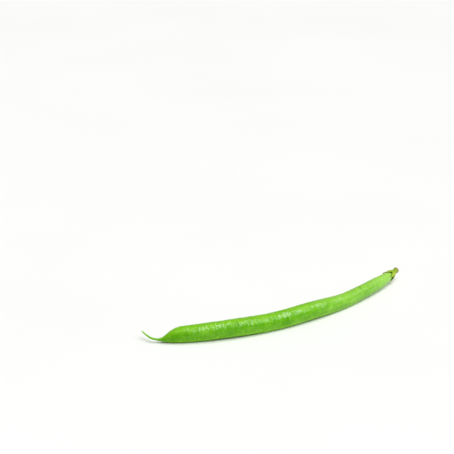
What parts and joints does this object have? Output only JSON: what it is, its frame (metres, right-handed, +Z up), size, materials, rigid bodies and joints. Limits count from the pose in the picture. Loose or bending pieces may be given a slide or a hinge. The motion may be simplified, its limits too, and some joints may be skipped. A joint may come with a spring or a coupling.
{
  "type": "green bean",
  "caption": "Fresh green bean as picked, lying on its side: a slim bowed pod with seams, seed swellings and a hooked beak, a dried toothed calyx and a short stalk.",
  "frame": {"origin": "on the table that the bean lies on, under the middle of its box", "axes": "+X along the bean from the beak to the stalk, -Y towards the outside of its bow, +Z up"},
  "size_m": [0.1384, 0.0244, 0.008],
  "materials": {
    "pod_skin": "fresh waxy bean skin, satin gloss, mid green with a yellower upper side and paler seams",
    "dried_calyx": "dried leaf, matt, olive to brown",
    "stalk": "matt stalk, pale olive with a brown cut end"
  },
  "bodies": {
    "root": {"pod": "pod_skin", "calyx": "dried_calyx", "pedicel": "stalk"}
  },
  "joints": []
}
